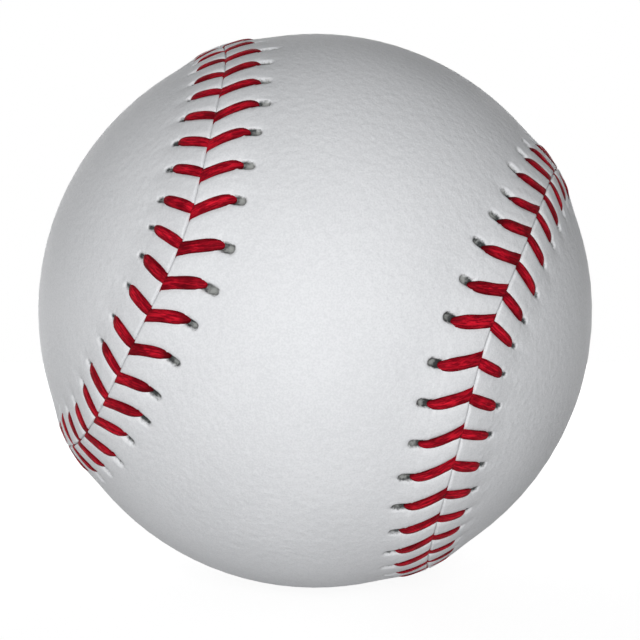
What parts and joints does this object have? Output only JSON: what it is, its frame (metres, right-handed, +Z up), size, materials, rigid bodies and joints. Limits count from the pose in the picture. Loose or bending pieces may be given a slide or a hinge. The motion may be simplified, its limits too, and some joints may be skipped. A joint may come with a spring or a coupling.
{
  "type": "baseball",
  "caption": "Stitched leather ball: cork and rubber core, wool and cotton windings, and two figure-eight leather panels laced together along one raised seam with red thread.",
  "frame": {"origin": "centre of the ball", "axes": "+Z up as pictured, -Y towards the viewer and through the waist of the front panel, +Y through the waist of the back panel: Y is the seam's own symmetry axis"},
  "size_m": [0.0738, 0.0738, 0.0738],
  "materials": {
    "cork": "ground cork bound in rubber, matte",
    "black_rubber": "moulded black rubber, matte",
    "red_rubber": "moulded red rubber, matte",
    "grey_wool": "tightly wound grey wool yarn",
    "white_wool": "tightly wound white wool yarn",
    "cotton_yarn": "fine white finishing yarn under a coat of cement",
    "leather": "white cowhide with a fine grain",
    "red_thread": "waxed red cotton thread"
  },
  "bodies": {
    "root": {"cork_core": "cork", "black_shell_upper": "black_rubber", "black_shell_lower": "black_rubber", "shell_gasket": "red_rubber", "red_rubber_layer": "red_rubber", "inner_wool_winding": "grey_wool", "white_wool_winding": "white_wool", "outer_wool_winding": "grey_wool", "cotton_winding": "cotton_yarn", "cover_panel_front": "leather", "cover_panel_back": "leather", "stitches_front": "red_thread", "stitches_back": "red_thread"}
  },
  "joints": []
}
